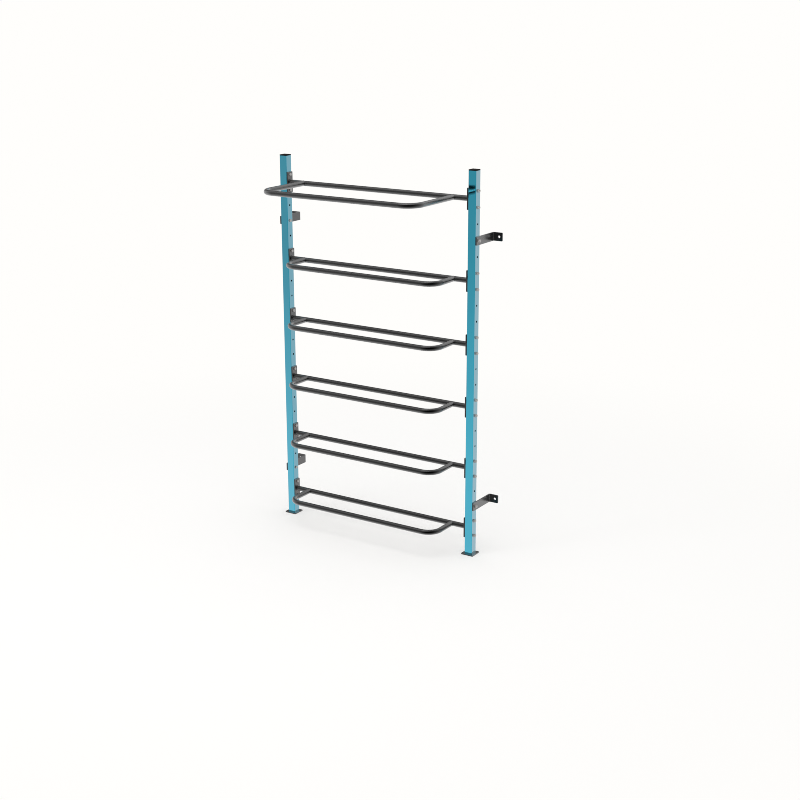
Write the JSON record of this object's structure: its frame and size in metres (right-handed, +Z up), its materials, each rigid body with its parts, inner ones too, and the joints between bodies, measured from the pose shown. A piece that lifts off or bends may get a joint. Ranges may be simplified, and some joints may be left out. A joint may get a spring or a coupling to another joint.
{
  "type": "wall-fixed ball storage rack",
  "caption": "Tall wall-fixed storage rack: two square uprights with bolt holes carry tubular shelves with looped fronts that cradle exercise balls or rollers.",
  "frame": {"origin": "on the floor, midway across the rack's overall width and overall depth", "axes": "+Z up; +X to the right as seen from the rack's front; +Y from the rack's front to the wall behind it"},
  "size_m": [1.1986, 0.4964, 1.8411],
  "materials": {
    "upright_paint": "glossy teal powder coat",
    "shelf_coat": "dark graphite coat, semi-gloss",
    "cap_plastic": "black moulded plastic",
    "foot_plastic": "black glossy moulded plastic",
    "bolt_zinc": "bright zinc plate"
  },
  "bodies": {
    "root": {"upright_left": "upright_paint", "upright_right": "upright_paint", "foot_left": "foot_plastic", "foot_right": "foot_plastic", "top_cap_left": "cap_plastic", "top_cap_right": "cap_plastic", "shelf_1_rear_rail": "shelf_coat", "shelf_1_front_loop": "shelf_coat", "shelf_1_bolt_left_lower": "bolt_zinc", "shelf_1_bolt_left_upper": "bolt_zinc", "shelf_1_bolt_right_lower": "bolt_zinc", "shelf_1_bolt_right_upper": "bolt_zinc", "shelf_2_rear_rail": "shelf_coat", "shelf_2_front_loop": "shelf_coat", "shelf_2_bolt_left_lower": "bolt_zinc", "shelf_2_bolt_left_upper": "bolt_zinc", "shelf_2_bolt_right_lower": "bolt_zinc", "shelf_2_bolt_right_upper": "bolt_zinc", "shelf_3_rear_rail": "shelf_coat", "shelf_3_front_loop": "shelf_coat", "shelf_3_bolt_left_lower": "bolt_zinc", "shelf_3_bolt_left_upper": "bolt_zinc", "shelf_3_bolt_right_lower": "bolt_zinc", "shelf_3_bolt_right_upper": "bolt_zinc", "shelf_4_rear_rail": "shelf_coat", "shelf_4_front_loop": "shelf_coat", "shelf_4_bolt_left_lower": "bolt_zinc", "shelf_4_bolt_left_upper": "bolt_zinc", "shelf_4_bolt_right_lower": "bolt_zinc", "shelf_4_bolt_right_upper": "bolt_zinc", "shelf_5_rear_rail": "shelf_coat", "shelf_5_front_loop": "shelf_coat", "shelf_5_bolt_left_lower": "bolt_zinc", "shelf_5_bolt_left_upper": "bolt_zinc", "shelf_5_bolt_right_lower": "bolt_zinc", "shelf_5_bolt_right_upper": "bolt_zinc", "shelf_6_rear_rail": "shelf_coat", "shelf_6_front_loop": "shelf_coat", "shelf_6_bolt_left_lower": "bolt_zinc", "shelf_6_bolt_left_upper": "bolt_zinc", "shelf_6_bolt_right_lower": "bolt_zinc", "shelf_6_bolt_right_upper": "bolt_zinc", "wall_bracket_lower_left": "shelf_coat", "wall_bracket_lower_right": "shelf_coat", "wall_bracket_upper_left": "shelf_coat", "wall_bracket_upper_right": "shelf_coat", "bracket_bolt_lower_left": "bolt_zinc", "bracket_bolt_lower_right": "bolt_zinc", "bracket_bolt_upper_left": "bolt_zinc", "bracket_bolt_upper_right": "bolt_zinc"}
  },
  "joints": []
}
